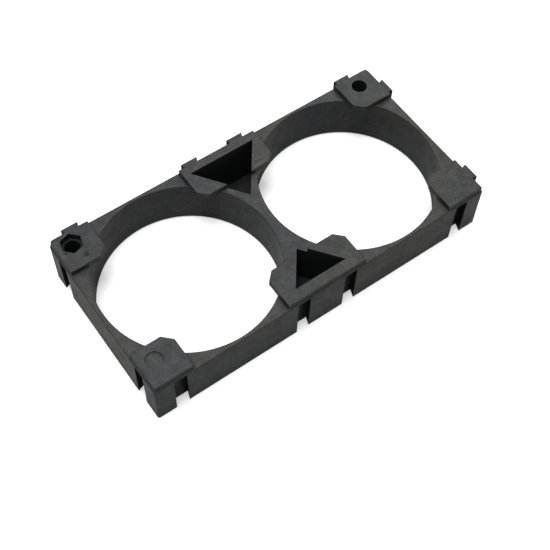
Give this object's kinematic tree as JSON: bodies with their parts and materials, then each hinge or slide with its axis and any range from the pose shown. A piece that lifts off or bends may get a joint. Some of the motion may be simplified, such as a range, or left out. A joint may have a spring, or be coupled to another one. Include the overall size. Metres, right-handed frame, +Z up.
{
  "type": "battery cell holder bracket",
  "caption": "Black plastic bracket that holds cylindrical battery cells in round bores under corner pads, with dovetail edges that join it to its neighbours.",
  "frame": {"origin": "middle of the underside, on the web between the cell bores", "axes": "+X along the row of cells, +Y across it towards the side with tongues, +Z up out of the retaining pads"},
  "size_m": [0.0702, 0.0354, 0.0107],
  "materials": {
    "moulded_plastic": "satin black moulded ABS"
  },
  "bodies": {
    "root": {"bracket": "moulded_plastic"}
  },
  "joints": []
}
